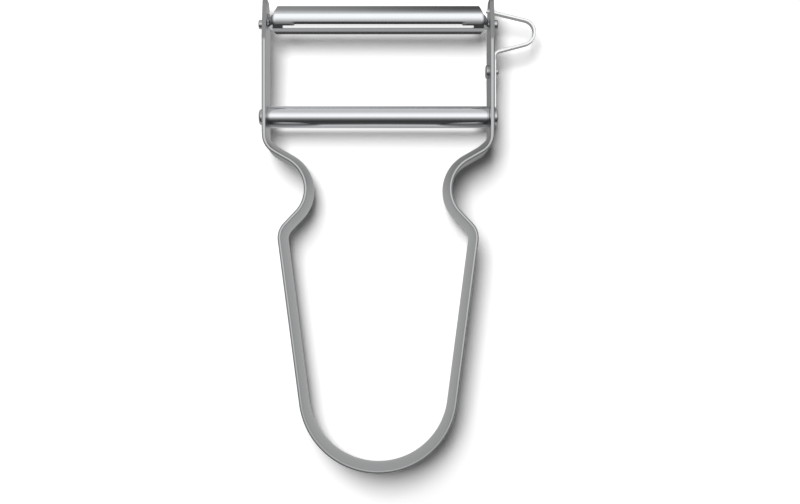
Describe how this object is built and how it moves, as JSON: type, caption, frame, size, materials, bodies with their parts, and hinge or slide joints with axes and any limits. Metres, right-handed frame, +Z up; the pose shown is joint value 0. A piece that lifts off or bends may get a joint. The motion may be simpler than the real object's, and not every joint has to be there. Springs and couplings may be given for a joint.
{
  "type": "vegetable peeler",
  "caption": "All-metal peeler: bent steel strip handle with a waist and round butt, swivelling slotted blade between its arms, round crossbar and a side loop for digging out eyes.",
  "frame": {"origin": "middle of the strip's edge at the butt end of the handle, on the plane the peeler lies on", "axes": "+Y from the butt end to the blade, +X to the side with the eye remover, +Z up across the strip's width, towards the blade's front"},
  "size_m": [0.0683, 0.1158, 0.011],
  "materials": {
    "strip_steel": "satin rolled steel strip with bright edges",
    "blade_steel": "polished blade steel, ground at the cutting edge",
    "sleeve_steel": "polished drawn tube",
    "loop_steel": "satin thin strip",
    "rivet_steel": "satin headed wire"
  },
  "bodies": {
    "bow_body": {"bow": "strip_steel", "crossbar_sleeve": "sleeve_steel", "crossbar_rivet": "rivet_steel", "eye_remover": "loop_steel", "eye_remover_rivet": "rivet_steel"},
    "blade_body": {"blade": "blade_steel", "blade_pivot_left": "rivet_steel", "blade_pivot_right": "rivet_steel"}
  },
  "joints": [
    {"name": "blade_swivel", "type": "hinge", "parent": "bow_body", "child": "blade_body", "pos_m": [0, 0.10939, 0.0055], "axis": [1, 0, 0], "range_deg": [-25, 25]}
  ]
}
